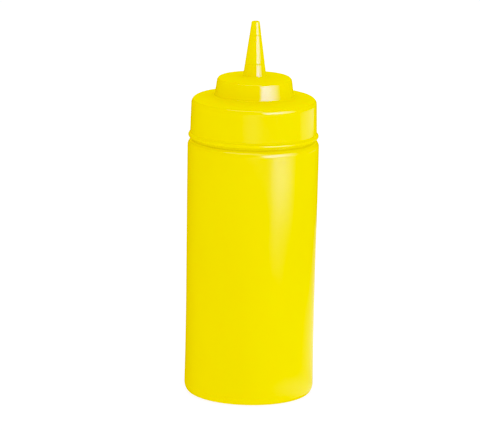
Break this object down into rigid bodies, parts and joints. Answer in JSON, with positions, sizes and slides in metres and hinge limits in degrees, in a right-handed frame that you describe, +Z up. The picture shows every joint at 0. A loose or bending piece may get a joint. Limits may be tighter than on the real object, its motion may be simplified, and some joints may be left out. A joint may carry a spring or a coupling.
{
  "type": "wide-mouth squeeze bottle",
  "caption": "Straight-sided plastic squeeze bottle for sauce, with a wide screw cap, a stepped turret and a tapered cone nozzle.",
  "frame": {"origin": "centre of the base, on the surface the bottle stands on", "axes": "+Z up along the bottle's turning axis, towards the nozzle; +X and +Y are any two level directions, as the bottle is round"},
  "size_m": [0.0694, 0.0694, 0.1998],
  "materials": {
    "bottle_plastic": "satin, soft squeezable polyethylene in bright yellow",
    "cap_plastic": "semi-gloss, moulded polyethylene in bright yellow"
  },
  "bodies": {
    "root": {"bottle": "bottle_plastic", "screw_cap": "cap_plastic"}
  },
  "joints": []
}
